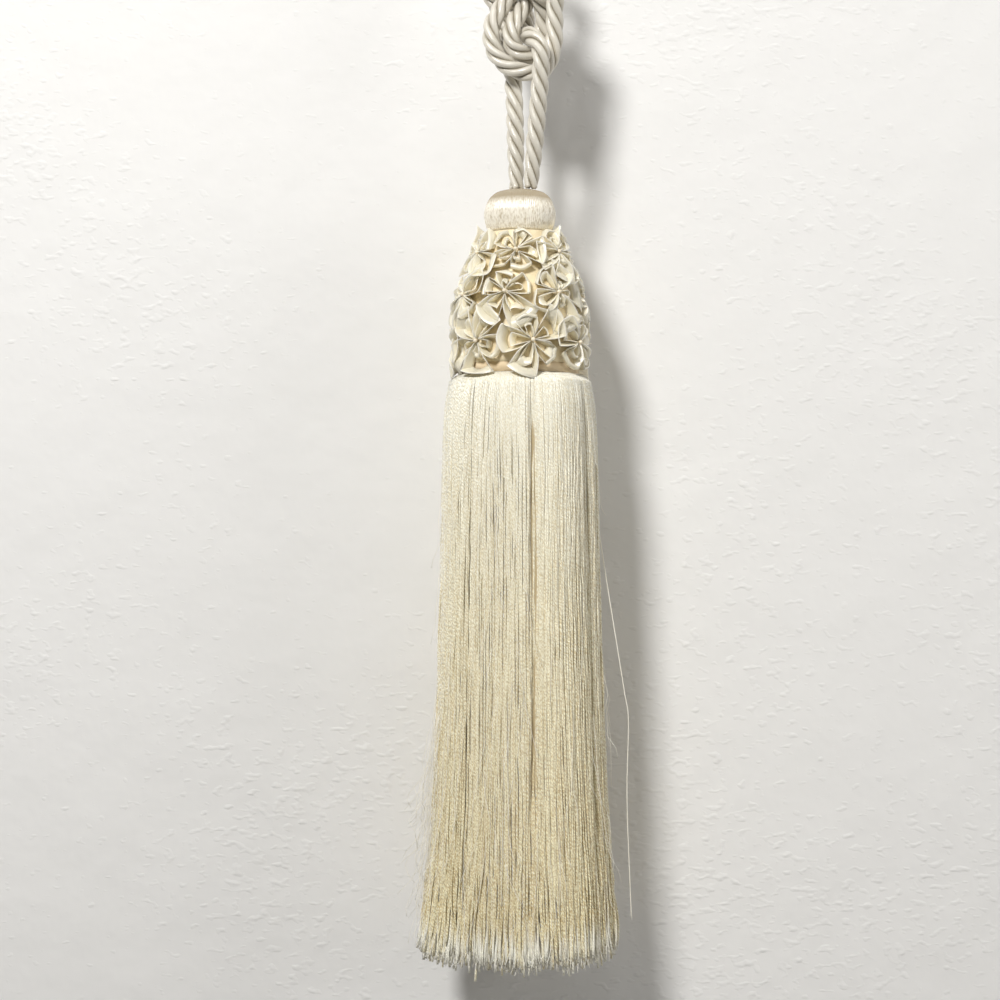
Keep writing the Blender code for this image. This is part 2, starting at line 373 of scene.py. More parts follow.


# %% [markdown]
# ## The rope
#
# The rope is four plies of viscose laid up to the left. It is one length: it comes out of the
# cap as the left leg, goes up behind the knot, round it twice, makes the loop that hangs on the
# hook, and comes back through the middle of the knot as the right leg. Its middle line is a
# smooth curve through listed points, in rope diameters from the middle of the knot. To keep them from
# flipping over where the line
# bends, the frame that carries them is turned from point to point by the least turn that follows
# the line.

# %% The rope's middle line
ROPE_DIAMETER = 6.5 * MM
KNOT_CENTRE = np.array((1.4, 0.0, -42.1)) * MM
TIE_ROUTE = (
    # left leg, and up behind the knot
    (-0.40, 0.35, -7.95), (-0.55, 0.55, -2.50), (-0.90, 1.65, 0.30), (-1.35, 1.96, 2.30),
    # over the left shoulder and across the front at the top
    (-2.00, 1.25, 3.52), (-1.80, -0.05, 4.37), (-0.75, -0.95, 4.60), (0.55, -1.15, 4.20),
    # down the right side, round the bottom and up the left side
    (1.62, -1.12, 3.10), (1.68, -0.78, 1.60), (1.60, -0.54, -0.30), (0.95, -0.45, -1.55),
    (-0.60, -0.55, -1.45), (-1.60, -0.45, -0.50), (-1.80, -0.30, 0.80), (-1.39, -0.21, 1.80),
    # out of the top of the knot, round the hanging loop, and in again
    (-0.65, -0.05, 3.09), (-0.61, 0.30, 4.60), (-1.30, 0.25, 5.70), (-0.90, 0.20, 6.75),
    (0.55, 0.20, 6.75), (1.00, 0.25, 5.70), (0.56, 0.35, 4.60), (0.28, 0.42, 3.11),
    # the inner turn, down on the left, round and up on the right
    (-0.02, 0.19, 2.11), (-0.62, -0.42, 1.00), (-0.65, -0.60, -0.10), (0.18, -0.36, -0.64),
    (1.06, 0.46, -0.15), (1.11, 0.57, 0.99), (1.01, 0.01, 2.12), (0.47, -1.01, 3.00),
    # across the front, over the left shoulder, and down behind
    (-0.86, -1.01, 3.50), (-1.71, 0.22, 3.17), (-0.01, 1.54, 2.25), (0.12, 0.86, 0.76),
    # out through the middle of the turns and down as the right leg
    (0.36, -0.83, 0.32), (0.85, -1.62, -0.55), (0.88, -1.40, -2.10), (0.38, -0.35, -7.95),
)
ROPE_STEP = 0.8 * MM
rope_line, rope_run = evenly(
    smooth_line(KNOT_CENTRE + np.array(TIE_ROUTE) * ROPE_DIAMETER, 24), ROPE_STEP)


# %% Wind the plies round it
PLIES = 4
PLY_RADIUS = 1.40 * MM
PLY_OFFSET = ROPE_DIAMETER / 2 - PLY_RADIUS
LAY_LENGTH = 25 * MM            # one ply's full turn round the rope
PINCH = 0.80                    # of its diameter, where the cap grips the rope
PINCH_HEIGHT = 16 * MM


def carried_frames(line):
    """Two directions across a line at each point, carried along it without spin."""
    ahead = np.gradient(line, axis=0)
    ahead /= np.linalg.norm(ahead, axis=1)[:, None]
    side = np.cross(ahead[0], (0.0, 1.0, 0.0))
    sides = []
    for way in ahead:
        side = side - way * np.dot(side, way)
        side = side / np.linalg.norm(side)
        sides.append(side)
    sides = np.array(sides)
    return sides, np.cross(ahead, sides)


across, over = carried_frames(rope_line)
ply_lines = []
for ply in range(PLIES):
    turn = 2 * math.pi * (ply / PLIES - rope_run / LAY_LENGTH)
    offset = across * np.cos(turn)[:, None] + over * np.sin(turn)[:, None]
    ply_lines.append(rope_line + PLY_OFFSET * offset)
PLY_SIDES_RESOLUTION = 4
rope_mesh = sweep("tie_rope", ply_lines, 2 * PLY_RADIUS, PLY_SIDES_RESOLUTION)
ring = 4 + 2 * PLY_SIDES_RESOLUTION
middles = np.tile(np.repeat(rope_line, ring, axis=0), (PLIES, 1))
from_middle = coordinates(rope_mesh) - middles
out = np.linalg.norm(from_middle, axis=1) / (ROPE_DIAMETER / 2)
# crest is each point's distance out from the rope's middle; the finish paints shade into the grooves by
# it.
rope_mesh.attributes.new("crest", "FLOAT", "POINT").data.foreach_set("value", out)
above_cap = np.clip((middles[:, 2] - cap_high.z) / PINCH_HEIGHT, 0.0, 1.0)
pinched = middles + from_middle * (PINCH + (1.0 - PINCH) * above_cap)[:, None]
rope_mesh.vertices.foreach_set("co", pinched.ravel())
print("rope mesh:", len(rope_mesh.polygons), "faces")

# %% [markdown]
# Each ply is a loose roving of shiny viscose, bound so lightly that its filaments run almost
# straight along it. A fine streak along the ply breaks up its highlight, and the colour falls
# off a little towards grey, as on undyed silk. The grooves between the plies are painted darker,
# as painted shade.


# %% The rope's finish
def rope_finish():
    material, tree, shader = new_material("rope_viscose", 0.27, specular=0.9)
    place = thread_place(tree)
    wraps = use_group(tree, yarn_twist, Place=place, Turns=1.0, Pitch=0.55, Wander=0.8)
    filaments = use_group(tree, yarn_twist, Place=place, Turns=16.0, Pitch=-12.0, Wander=2.2)
    # Painted shade: the colour darkens where crest is low, deep in the grooves between plies.
    depth = maths(tree, "MULTIPLY_ADD", attribute(tree, "crest"), -4.5, 3.95)
    shade = maths(tree, "ADD", maths(tree, "MULTIPLY_ADD", filaments, -0.5, 0.15), depth)
    colour = toned(tree, stretched(tree, place, (3.0, 0.25, 1.0)), 1.0,
                   (0.73, 0.69, 0.60), (0.34, 0.30, 0.22), shade)
    tree.links.new(colour, shader.inputs["Base Color"])
    height = maths(tree, "ADD", wraps, maths(tree, "MULTIPLY", filaments, 0.5))
    add_bump(tree, shader, height, 0.05 * MM, 0.8)
    return material


rope = show("tie_rope", rope_mesh, rope_finish())
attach(rope, "root")
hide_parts("tie_cord")
print("rope done")

# %% [markdown]
# ## The cap
#
# The cap is a turned bulb bound with floss: straight, untwisted strands that run from the rope
# down over the bulb, side by side. The bulb is turned with the spin operator in narrow steps, four
# to a strand, and the middle of each strand is lifted a little. Long thin ridges of this kind
# throw the light into a bright band round the bulb. The crown above the band is painted darker,
# as painted shade.

# %% Turn the cap
CAP_OUTLINE = ((0.0, 4.0), (0.25, 6.0), (1.3, 8.9), (3.4, 11.0), (5.9, 12.1), (8.8, 12.65),
               (12.4, 12.1), (15.1, 11.0))
CAP_STRANDS = 110
STRAND_LIFT = 0.26 * MM
BUNDLE_LIFT = 0.05 * MM
# The crown is the top of the cap painted darker, as painted shade.
SHADED_CROWN_HEIGHT = 5.6 * MM         # the darker top of the cap
CROWN_SHADE_FADE = 420.0              # how fast it darkens, per metre
cap_depth = cap_high.z - cap_low.z


def turned_mesh(name, profile, steps):
    """Turn a profile of (radius, height) round the Z axis; its ends are on the axis."""
    bm = bmesh.new()
    verts = [bm.verts.new((0.0, -radius, height)) for radius, height in profile]
    edges = [bm.edges.new(pair) for pair in zip(verts, verts[1:])]
    bmesh.ops.spin(bm, geom=verts + edges, cent=(0, 0, 0), axis=(0, 0, 1), angle=2 * math.pi,
                   steps=steps, use_merge=True)
    bmesh.ops.remove_doubles(bm, verts=bm.verts, dist=0.01 * MM)
    bmesh.ops.recalc_face_normals(bm, faces=bm.faces)
    return finished(name, bm)


def smooth_profile(outline, high, low, per_stretch):
    """An outline of (depth, radius) rows made smooth, and closed on the axis at both ends."""
    smooth = smooth_line(outline, per_stretch) * MM
    return [(0.0, high), *((radius, high - depth) for depth, radius in smooth), (0.0, low)]


def cap_mesh():
    profile = smooth_profile(CAP_OUTLINE, cap_high.z, cap_low.z, 5)
    mesh = turned_mesh("cap_floss", profile, 4 * CAP_STRANDS)
    places = coordinates(mesh)
    radius = np.hypot(places[:, 0], places[:, 1])
    turn = np.arctan2(places[:, 0], -places[:, 1])
    depth = (cap_high.z - places[:, 2]) / cap_depth
    strand = np.abs(np.sin(0.5 * CAP_STRANDS * turn))
    bundle = np.sin(11 * turn + 1.3) + 0.7 * np.sin(29 * turn + 2.0 * depth)
    lift = (STRAND_LIFT * strand + BUNDLE_LIFT * bundle) * np.clip(radius / (8 * MM), 0.0, 1.0)
    places[:, :2] *= ((radius + lift) / np.maximum(radius, 0.1 * MM))[:, None]
    mesh.vertices.foreach_set("co", places.ravel())
    return mesh


def floss_finish():
    material, tree, shader = new_material("cap_floss", 0.26, specular=1.0)
    place = object_place(tree)
    speckle = noise(tree, stretched(tree, place, (1.0, 1.0, 0.5)), 1500.0, 1.0)
    speckle = maths(tree, "MULTIPLY_ADD", speckle, 2.4, -1.2)
    colour = toned(tree, stretched(tree, place, (1.0, 1.0, 0.12)), 900.0,
                   (0.97, 0.92, 0.80), (0.62, 0.54, 0.40), speckle)
    # Painted shade: the crown above the bright band is mixed towards dark brown.
    crown = maths(tree, "SUBTRACT", split_place(tree, place)["Z"], cap_high.z - SHADED_CROWN_HEIGHT)
    crown = maths(tree, "MULTIPLY", crown, CROWN_SHADE_FADE)
    tree.links.new(mixed(tree, crown, colour, (0.40, 0.33, 0.22, 1)), shader.inputs["Base Color"])
    fine = noise(tree, stretched(tree, place, (1.0, 1.0, 0.06)), 5200.0, 1.0)
    add_bump(tree, shader, fine, 0.05 * MM, 0.7)
    return material


cap = show("cap_floss", cap_mesh(), floss_finish())
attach(cap, "root")
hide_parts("cap")
print("cap:", len(cap.data.polygons), "faces")

# %% [markdown]
# ## The head
#
# The head is a bell-shaped mould covered with peach satin. The rosettes hide most of it, so what
# shows is a warm ground between them. It is turned from the same outline as the solid that it
# replaces, and the satin's fine weave is bump.

# %% Turn the head and the heading tape
HEAD_OUTLINE = (
    (0.0, 11.2), (2.2, 12.2), (7.1, 14.2), (15.1, 17.6), (22.6, 20.0), (31.1, 21.3), (40.6, 21.6),
    (47.4, 21.2),
)
ROUND_STEPS = 96


def satin_finish(name, light, dark, roughness):
    material, tree, shader = new_material(name, roughness, 0.2)
    place = object_place(tree)
    tree.links.new(toned(tree, place, 160.0, light, dark), shader.inputs["Base Color"])
    weave = noise(tree, stretched(tree, place, (1.0, 1.0, 4.0)), 1400.0, 1.0)
    weave = maths(tree, "MULTIPLY", weave, 0.08)
    folds = noise(tree, place, 230.0, 1.0)
    add_bump(tree, shader, maths(tree, "ADD", weave, folds), 1.3 * MM, 0.7)
    return material


head_profile = smooth_profile(HEAD_OUTLINE, head_high.z, head_low.z, 4)
head = show("head_satin", turned_mesh("head_satin", head_profile, ROUND_STEPS),
            satin_finish("head_satin", (0.88, 0.77, 0.54), (0.72, 0.60, 0.39), 0.40))
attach(head, "root")
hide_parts("head_mould")


def heading_mesh():
    """A band of tape: an open ring, thickened."""
    bm = bmesh.new()
    radius = heading_high.x - 0.8 * MM
    low = bm.verts.new((0.0, -radius, heading_low.z))
    high = bm.verts.new((0.0, -radius, heading_high.z + 0.5 * MM))
    bmesh.ops.spin(bm, geom=[low, high, bm.edges.new((low, high))], cent=(0, 0, 0), axis=(0, 0, 1),
                   angle=2 * math.pi, steps=ROUND_STEPS, use_merge=True)
    bmesh.ops.recalc_face_normals(bm, faces=bm.faces)
    bmesh.ops.solidify(bm, geom=bm.faces[:], thickness=1.6 * MM)
    bmesh.ops.recalc_face_normals(bm, faces=bm.faces)
    return finished("heading_tape", bm)


heading = show("heading_tape", heading_mesh(),
               satin_finish("heading_tape", (0.82, 0.68, 0.47), (0.70, 0.54, 0.34), 0.7))
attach(heading, "root")
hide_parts("skirt_heading")
print("head:", len(head.data.polygons), "faces; tape:", len(heading.data.polygons), "faces")

# %% [markdown]
# ## The rosettes
#
# A rosette is one narrow satin ribbon, set on edge and gathered into five loops like a daisy, with
# a stitch through the middle, and smaller loops inside the large ones. The loops of neighbours
# push against each other, so each petal runs out until it meets the line half way to its
# neighbour. At the end of a loop the ribbon leans in or flops out, each in its own way, and turns
# a bright face to the light.

# %% Where the rosettes sit
RIBBON_WIDTH = 4.1 * MM
RIBBON_LIFT = 0.35 * MM
PETALS = 5
ROSETTE_ROWS = (
    ("a", 6, -117.6 * MM, -6.0, 20.0),
    ("b", 7, -132.8 * MM, -14.5, 0.0),
    ("c", 7, -150.0 * MM, -41.0, 31.0),
)
ROSETTE_REACH = 11.4 * MM
ROSETTES_TOP = -109.6 * MM
ROSETTES_BOTTOM = -160.6 * MM


def head_radius(height):
    """The radius of the head, and of the tape below it, at a height."""
    radius = along_outline(HEAD_OUTLINE, head_high.z - height)
    return np.where(height < head_low.z + 2.0 * MM, np.maximum(radius, heading_high.x), radius)


def place_rosettes():
    places = []
    for row, count, height, first, petal_turn in ROSETTE_ROWS:
        radius_out = float(head_radius(np.array(height))) + RIBBON_LIFT + RIBBON_WIDTH / 2
        for i in range(count):
            places.append({"name": f"rosette_{row}{i + 1}", "height": height, "radius": radius_out,
                           "turn": math.radians(first + i * 360.0 / count),
                           "petals": math.radians(petal_turn + 23.0 * i)})
    return places


def petal_reach(place, others, angle):
    """How far a petal runs at an angle: its full length, or half way to what is beside it."""
    limits = [(ROSETTES_TOP - place["height"], 0.0), (place["height"] - ROSETTES_BOTTOM, math.pi)]
    for other in others:
        width = (place["radius"] + other["radius"]) / 2
        across = math.remainder(other["turn"] - place["turn"], 2 * math.pi) * width
        along = other["height"] - place["height"]
        if abs(across) < 3 * ROSETTE_REACH:
            limits.append((math.hypot(across, along) / 2, math.atan2(across, along)))
    reach = ROSETTE_REACH
    for distance, bearing in limits:
        facing = math.cos(angle - bearing)
        if facing > 0.05:
            reach = min(reach, distance / facing)
    return reach


rosette_places = place_rosettes()
print("rosettes:", len(rosette_places))

# %% Fold one ribbon into five loops
# Columns: share of the petal's turn, share of its reach, how much of the end it is.
PETAL_FOLD = (
    (-0.50, 0.08, 0.0), (-0.47, 0.50, 0.1), (-0.43, 0.90, 0.8), (-0.38, 0.99, 1.0),
    (0.00, 1.03, 1.0), (0.38, 0.99, 1.0), (0.43, 0.90, 0.8), (0.47, 0.50, 0.1),
)
RIBBON_ROWS = 6
FOOT_WIDTH = 0.74               # of a petal's width at its outer edge
FOOT_REACH = 0.84
INNER_LOOPS = 0.62              # of the size of the large ones
CRUMPLE_ACROSS = 0.42 * MM
CRUMPLE_OUT = 0.35 * MM


def ribbon_line(place, others, shrink, rng):
    """The ribbon round the flat rosette: its outer edge and its foot, each up and across, the
    lean of its width, and how high it stands."""
    share = 2 * math.pi / PETALS
    rows = []
    for petal in range(PETALS):
        middle = place["petals"] + (petal + rng.uniform(-0.06, 0.06)) * share
        reach = petal_reach(place, others, middle) * rng.uniform(1.0, 1.12)
        lean = rng.choice([-0.95, -0.6, 0.35, 0.8]) + rng.uniform(-0.15, 0.15)
        skew = rng.uniform(-0.35, 0.35)
        narrow = rng.uniform(0.78, 1.04)
        for part, length, end in PETAL_FOLD:
            at_stitch = length < 0.2
            near_middle = part if at_stitch else part * shrink * (narrow if abs(part) < 0.45 else 1.0)
            angle = middle + share * (near_middle + rng.uniform(-0.02, 0.02))
            far = min(reach, petal_reach(place, others, angle) * 1.10) * length
            far *= 1.0 if at_stitch else shrink
            foot_angle = middle + share * near_middle * (1.0 if at_stitch else FOOT_WIDTH)
            foot = far * (1.0 if at_stitch else FOOT_REACH)
            rise = 0.42 + 0.58 * min(1.0, length * 1.7)
            tip = end * (lean + skew * math.copysign(1.0, part))
            rows.append((far * math.cos(angle), far * math.sin(angle), foot * math.cos(foot_angle),
                         foot * math.sin(foot_angle), tip, rise))
    return smooth_line(rows, 4, closed=True).T


def closed_noise(count, waves, rng):
    """A smooth random swing round a closed line."""
    at = 2 * math.pi * np.arange(count) / count
    swing = np.zeros(count)
    for wave in range(4, waves):
        swing += rng.normal() * np.sin(wave * at + rng.uniform(0, 2 * math.pi)) / math.sqrt(waves / 2)
    return swing


def add_ribbon(bm, uv, place, others, shrink, rng):
    """One round of the ribbon; shrunk, it makes the small loops inside the large ones."""
    edge_up, edge_across, foot_up, foot_across, lean, rise = ribbon_line(place, others, shrink, rng)
    width = RIBBON_WIDTH * (0.4 + 0.6 * shrink)
    count = len(edge_up)
    crumple = closed_noise(count, 14, rng), closed_noise(count, 14, rng)
    reach = np.hypot(edge_up, edge_across)
    out_up, out_across = edge_up / reach, edge_across / reach
    run = np.cumsum(np.hypot(np.roll(edge_up, -1) - edge_up, np.roll(edge_across, -1) - edge_across))
    rows = []
    for row in range(RIBBON_ROWS):
        share = row / (RIBBON_ROWS - 1)
        tip = lean * share**1.4
        shift = width * share * np.sin(tip) * 0.9 + CRUMPLE_ACROSS * share * crumple[0]
        off_head = RIBBON_LIFT + width * share * rise * np.cos(tip) + CRUMPLE_OUT * share * crumple[1]
        up = foot_up + (edge_up - foot_up) * share
        across = foot_across + (edge_across - foot_across) * share
        height = place["height"] + up + out_up * shift
        turn = place["turn"] + (across + out_across * shift) / place["radius"]
        radius = head_radius(height) + off_head
        points = direction(turn) * radius[:, None]
        points[:, 2] = height
        rows.append([bm.verts.new(point) for point in points])
    for row in range(RIBBON_ROWS - 1):
        for i in range(count):
            j = (i + 1) % count
            face = bm.faces.new((rows[row][i], rows[row][j], rows[row + 1][j], rows[row + 1][i]))
            start, end = run[i - 1] if i else 0.0, run[i]
            corners = (start, row), (end, row), (end, row + 1), (start, row + 1)
            for loop, (u, v) in zip(face.loops, corners):
                loop[uv].uv = (u / MM, v / (RIBBON_ROWS - 1))


def rosette_mesh(place, others, rng):
    bm = bmesh.new()
    uv = bm.loops.layers.uv.new("thread_uv")
    for shrink in (1.0, INNER_LOOPS):
        add_ribbon(bm, uv, place, others, shrink, rng)
    bmesh.ops.recalc_face_normals(bm, faces=bm.faces)
    return finished(place["name"] + "_ribbon", bm)


# %% [markdown]
# The ribbon is satin with a woven edge. Its face shines along its length, and the two edges,
# where the weft turns back, are thicker, paler and duller, so they draw a bright line round
# every petal.


# %% The ribbon's finish
def ribbon_finish():
    material, tree, shader = new_material("ribbon_satin", 0.30, specular=1.0)
    shader.inputs["Subsurface Weight"].default_value = 0.6
    shader.inputs["Subsurface Radius"].default_value = (0.8, 0.8, 0.8)
    shader.inputs["Subsurface Scale"].default_value = 2.0 * MM
    place = thread_place(tree)
    split = split_place(tree, place)
    off_middle = maths(tree, "ABSOLUTE", maths(tree, "SUBTRACT", split["Y"], 0.5))
    edge = maths(tree, "MAXIMUM", maths(tree, "SUBTRACT", off_middle, 0.43), 0.0)
    edge = maths(tree, "SMOOTH_MIN", maths(tree, "MULTIPLY", edge, 30.0), 1.0, 0.2)
    ground = toned(tree, stretched(tree, place, (0.12, 1.5, 1.0)), 1.0,
                   (1.0, 0.93, 0.70), (0.96, 0.85, 0.60))
    tree.links.new(mixed(tree, edge, ground, (1.0, 0.95, 0.80, 1)), shader.inputs["Base Color"])
    weft = maths(tree, "SINE", maths(tree, "MULTIPLY", split["X"], 2 * math.pi / 0.5))
    height = maths(tree, "ADD", maths(tree, "MULTIPLY", weft, 0.12), maths(tree, "MULTIPLY", edge, 1.0))
    add_bump(tree, shader, height, 0.08 * MM, 0.6)
    return material


RIBBON_THICKNESS = 0.18 * MM
ribbon_satin = ribbon_finish()
rng = np.random.default_rng(21)
for place in rosette_places:
    others = [other for other in rosette_places if other is not place]
    ribbon = show(place["name"] + "_ribbon", rosette_mesh(place, others, rng), ribbon_satin)
    thickness = ribbon.modifiers.new("Ribbon thickness", "SOLIDIFY")
    thickness.thickness = RIBBON_THICKNESS
    thickness.offset = 0.0
    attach(ribbon, "root")
    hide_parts(place["name"])
print("rosettes done")

# %% [markdown]
# A stitch and a tiny knot hold each rosette. The knot is a small ball, sitting in
# the middle where the five loops meet.


# %% The knots in the rosettes' middles
def knot_mesh():
    bm = bmesh.new()
    for place in rosette_places:
        made = bmesh.ops.create_icosphere(bm, subdivisions=2, radius=0.8 * MM)["verts"]
        turn = np.array(place["turn"])
        radius = float(head_radius(np.array(place["height"]))) + 2.6 * MM
        centre = Vector(direction(turn) * radius) + Vector((0, 0, place["height"]))
        bmesh.ops.translate(bm, verts=made, vec=centre)
    return finished("rosette_knots", bm)


knots = show("rosette_knots", knot_mesh(),
             satin_finish("knot_thread", (0.93, 0.84, 0.66), (0.82, 0.69, 0.50), 0.35))
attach(knots, "root")
print("knots:", len(knots.data.polygons), "faces")

# %% [markdown]
# ## The skirt
#
# The skirt is several hundred two-ply rayon threads, hung in layers from the heading tape. They
# come out over its edge, round the shoulder, and fall almost straight. Each thread wanders a
# little, and partings open where a bundle has swung aside. The outer three layers are modelled
# thread by thread over a solid core, dark with painted shade, and a brush of short threads fills
# the skirt from below.

# %% The skirt's outline and partings
SKIRT_OUTLINE = (
    (0.0, 19.0), (0.3, 21.0), (0.8, 23.0), (2.6, 25.3), (8.9, 26.7), (19.7, 27.5), (45.0, 28.0),
    (81.0, 28.6), (115.0, 29.8), (150.0, 31.2), (184.0, 33.1), (204.5, 34.2),
)
# Columns: turn to the right of the front, width, both in degrees, depth in millimetres, and the
# share of the skirt's length that the parting reaches down to.
PARTINGS = (
    (9.0, 3.0, 2.0, 0.82), (59.0, 3.5, 1.6, 0.90), (-38.0, 3.0, 0.9, 0.95),
    (112.0, 4.0, 1.6, 0.85), (171.0, 3.5, 1.8, 0.90), (-128.0, 4.0, 1.5, 0.80), (-80.0, 3.5, 1.1, 0.95),
)
SKIRT_LENGTH = 204.5 * MM
SKIRT_RADIUS = 28 * MM
HEM_RADIUS = 33 * MM


def parted(turn, share_down):
    """The turn and the drop in radius of a thread beside the partings."""
    moved, sunk = turn.copy(), np.zeros_like(turn)
    for right, width, deep, reach in PARTINGS:
        away = np.degrees(np.angle(np.exp(1j * (turn - math.radians(right))))) / width
        fade = np.clip((reach - share_down) * 8.0, 0.0, 1.0) * np.clip(share_down * 12.0, 0.0, 1.0)
        near = np.exp(-away**2) * fade
        moved += np.radians(width) * 0.45 * away * near
        sunk += deep * MM * near
    return moved, sunk


def wander(rng, run, longest, shortest):
    """A smooth random swing along a thread, about one unit either way."""
    swing = np.zeros_like(run)
    for wavelength in np.geomspace(longest, shortest, 4):
        size = math.sqrt(wavelength / longest) * rng.normal()
        cycles = run / (wavelength * rng.uniform(0.8, 1.25))
        swing += size * np.sin(2 * math.pi * (cycles + rng.random()))
    return swing


# %% Hang the threads
SKIRT_SEGMENTS = 56
# Columns: name, threads, how far under the outline, thickness; millimetres.
LAYERS = (("skirt_outer", 262, 0.2, 0.82), ("skirt_middle", 250, 0.45, 0.92),
          ("skirt_inner", 235, 0.95, 1.06))
# Columns: waves round the skirt, wavelength down it in metres, phase.
SWAYS = ((5, 0.31, 0.4), (9, 0.17, 2.1), (14, 0.23, 4.0), (23, 0.11, 5.2), (37, 0.075, 1.2))


def bundle_sway(turn, down):
    """The slow swing that neighbouring threads share, in metres round the skirt."""
    sway = np.zeros_like(down)
    for waves, length, phase in SWAYS:
        sway += np.sin(waves * turn + 2 * math.pi * down / length + phase) * 2.2 * MM / waves
    return sway


def hem_shift(turn):
    """How much longer the skirt is on one side than on another; it is nicked right of the front."""
    nick = math.exp(-(math.remainder(turn - math.radians(17.0), 2 * math.pi) / math.radians(8.0)) ** 2)
    return (0.9 * math.sin(5 * turn) + 0.9 * math.sin(2 * turn + 1.0) - 3.2 * nick) * MM


def hem_flare(turn, share):
    """The hem swings out on its left."""
    away = np.remainder(turn + math.radians(80.0) + math.pi, 2 * math.pi) - math.pi
    left = np.exp(-away**2 / 0.35)
    return 2.2 * MM * left * np.clip((share - 0.84) / 0.16, 0.0, 1.0) ** 1.5


def hung(turn, radius, down):
    """A line down the skirt, from its turns, radii and depths."""
    line = direction(turn) * radius[:, None]
    line[:, 2] = skirt_high.z - down
    return line


def thread_lines(count, under, rng):
    depth = np.concatenate([np.array([0.0, 0.3, 0.8, 1.6, 2.6, 4.5]) * MM,
                            np.linspace(7 * MM, SKIRT_LENGTH, SKIRT_SEGMENTS - 5)])
    lines = []
    for number in range(count):
        turn = 2 * math.pi * (number + rng.uniform(-0.35, 0.35)) / count
        longer = rng.normal() * 1.8 * MM + hem_shift(turn) + (2.5 * MM if rng.random() < 0.05 else 0.0)
        down = depth * (1.0 + longer / SKIRT_LENGTH)
        share = down / SKIRT_LENGTH
        settle = np.clip(share * 6.0, 0.0, 1.0)
        radius = along_outline(SKIRT_OUTLINE, depth) - under * MM * np.clip(share * 40.0, 0.15, 1.0)
        loose = 0.35 * MM + 0.75 * MM * np.clip((share - 0.8) / 0.2, 0.0, 1.0)
        turns, sunk = parted(np.full_like(down, turn), share)
        own = (0.20 * MM + 0.7 * MM * np.clip(share - 0.75, 0.0, 1.0)) * wander(rng, down, 0.12, 0.012)
        turns = turns + settle * (bundle_sway(turn, down) + own) / SKIRT_RADIUS
        radius = radius - sunk + settle * loose * 0.6 * wander(rng, down, 0.12, 0.014)
        radius = radius + hem_flare(turn, share)
        lines.append(hung(turns, radius, down))
    return lines


# %% [markdown]
# A rayon thread is two plies twisted tightly, so its surface is a chain of small bright beads with
# darker grooves between them: that is what makes the skirt sparkle. The twist is laid on the
# threads' UV map as bump, and as colour: painted shade in the grooves, and a noise of painted
# glints. The thread is painted nearly white at the shoulder, as a painted sheen where it catches
# the light, and pale gold lower down, darker towards the hem. Its cut ends are white.


# %% The skirt thread's finish
def skirt_finish():
    material, tree, shader = new_material("skirt_rayon", 0.36, 0.8, 0.8)
    place = thread_place(tree)
    down = maths(tree, "DIVIDE", split_place(tree, place)["Y"], SKIRT_LENGTH / MM)
    drop = maths(tree, "MINIMUM", down, 1.0)
    # The bead ridges are bump, and in the colour they are painted shade in the grooves between the
    # beads.
    beads = use_group(tree, yarn_twist, Place=place, Turns=2.0, Pitch=1.5, Wander=3.0)
    # Painted glints: a fine noise that lightens the colour in specks.
    painted_glint = noise(tree, stretched(tree, place, (2.2, 1.2, 1.0)), 1.0, 1.0)
    painted_glint = maths(tree, "MULTIPLY_ADD", painted_glint, 2.4, -0.75)
    tone = maths(tree, "MULTIPLY_ADD", attribute(tree, "tone"), 0.3, -0.15)
    shade = maths(tree, "MULTIPLY_ADD", beads, 0.7, tone)
    shade = maths(tree, "SUBTRACT", 1.02, maths(tree, "MULTIPLY_ADD", painted_glint, 0.95, shade))
    # The painted shade and glints grow stronger towards the hem.
    shade = maths(tree, "MULTIPLY", shade, maths(tree, "MULTIPLY_ADD", drop, 0.55, 0.65))
    streaks = stretched(tree, place, (1.0, 0.05, 1.0))
    # The upper colour is nearly white: the thread's own pale colour with a painted sheen at the
    # shoulder, where it catches the light.
    upper_colour_and_sheen = toned(tree, streaks, 0.6, (1.0, 1.0, 0.93), (0.82, 0.76, 0.57), shade)
    lower = toned(tree, streaks, 0.6, (1.0, 0.93, 0.64), (0.64, 0.51, 0.27), shade)
    thread = mixed(tree, maths(tree, "POWER", drop, 0.6), upper_colour_and_sheen, lower)
    ends_start = maths(tree, "MULTIPLY_ADD", attribute(tree, "tone"), 0.05, 0.945)
    ends = maths(tree, "MAXIMUM", maths(tree, "SUBTRACT", drop, ends_start), 0.0)
    ends = maths(tree, "MINIMUM", maths(tree, "MULTIPLY", ends, 22.0), 0.85)
    tree.links.new(mixed(tree, ends, thread, (1.0, 0.99, 0.88, 1)), shader.inputs["Base Color"])
    add_bump(tree, shader, beads, 0.12 * MM, 0.8)
    return material


skirt_rayon = skirt_finish()
rng = np.random.default_rng(7)
for name, count, under, thickness in LAYERS:
    lines = thread_lines(count, under, rng)
    layer = show(name, sweep(name, lines, thickness * MM, 0), skirt_rayon)
    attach(layer, "root")
    if name == "skirt_outer":
        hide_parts("skirt")
    print(name, len(layer.data.polygons), "faces")


# %% The core behind the threads, and the brush that fills the skirt from below
CORE_DEPTH = 1.9                # millimetres under the threads' outline


def core_mesh():
    profile = [(0.0, skirt_high.z - 0.5 * MM)]
    profile += [((radius - CORE_DEPTH) * MM, skirt_high.z - (depth + 0.5) * MM)
                for depth, radius in SKIRT_OUTLINE[:-1]]
    profile += [(0.0, skirt_high.z - 190 * MM)]
    return turned_mesh("skirt_core", profile, ROUND_STEPS)


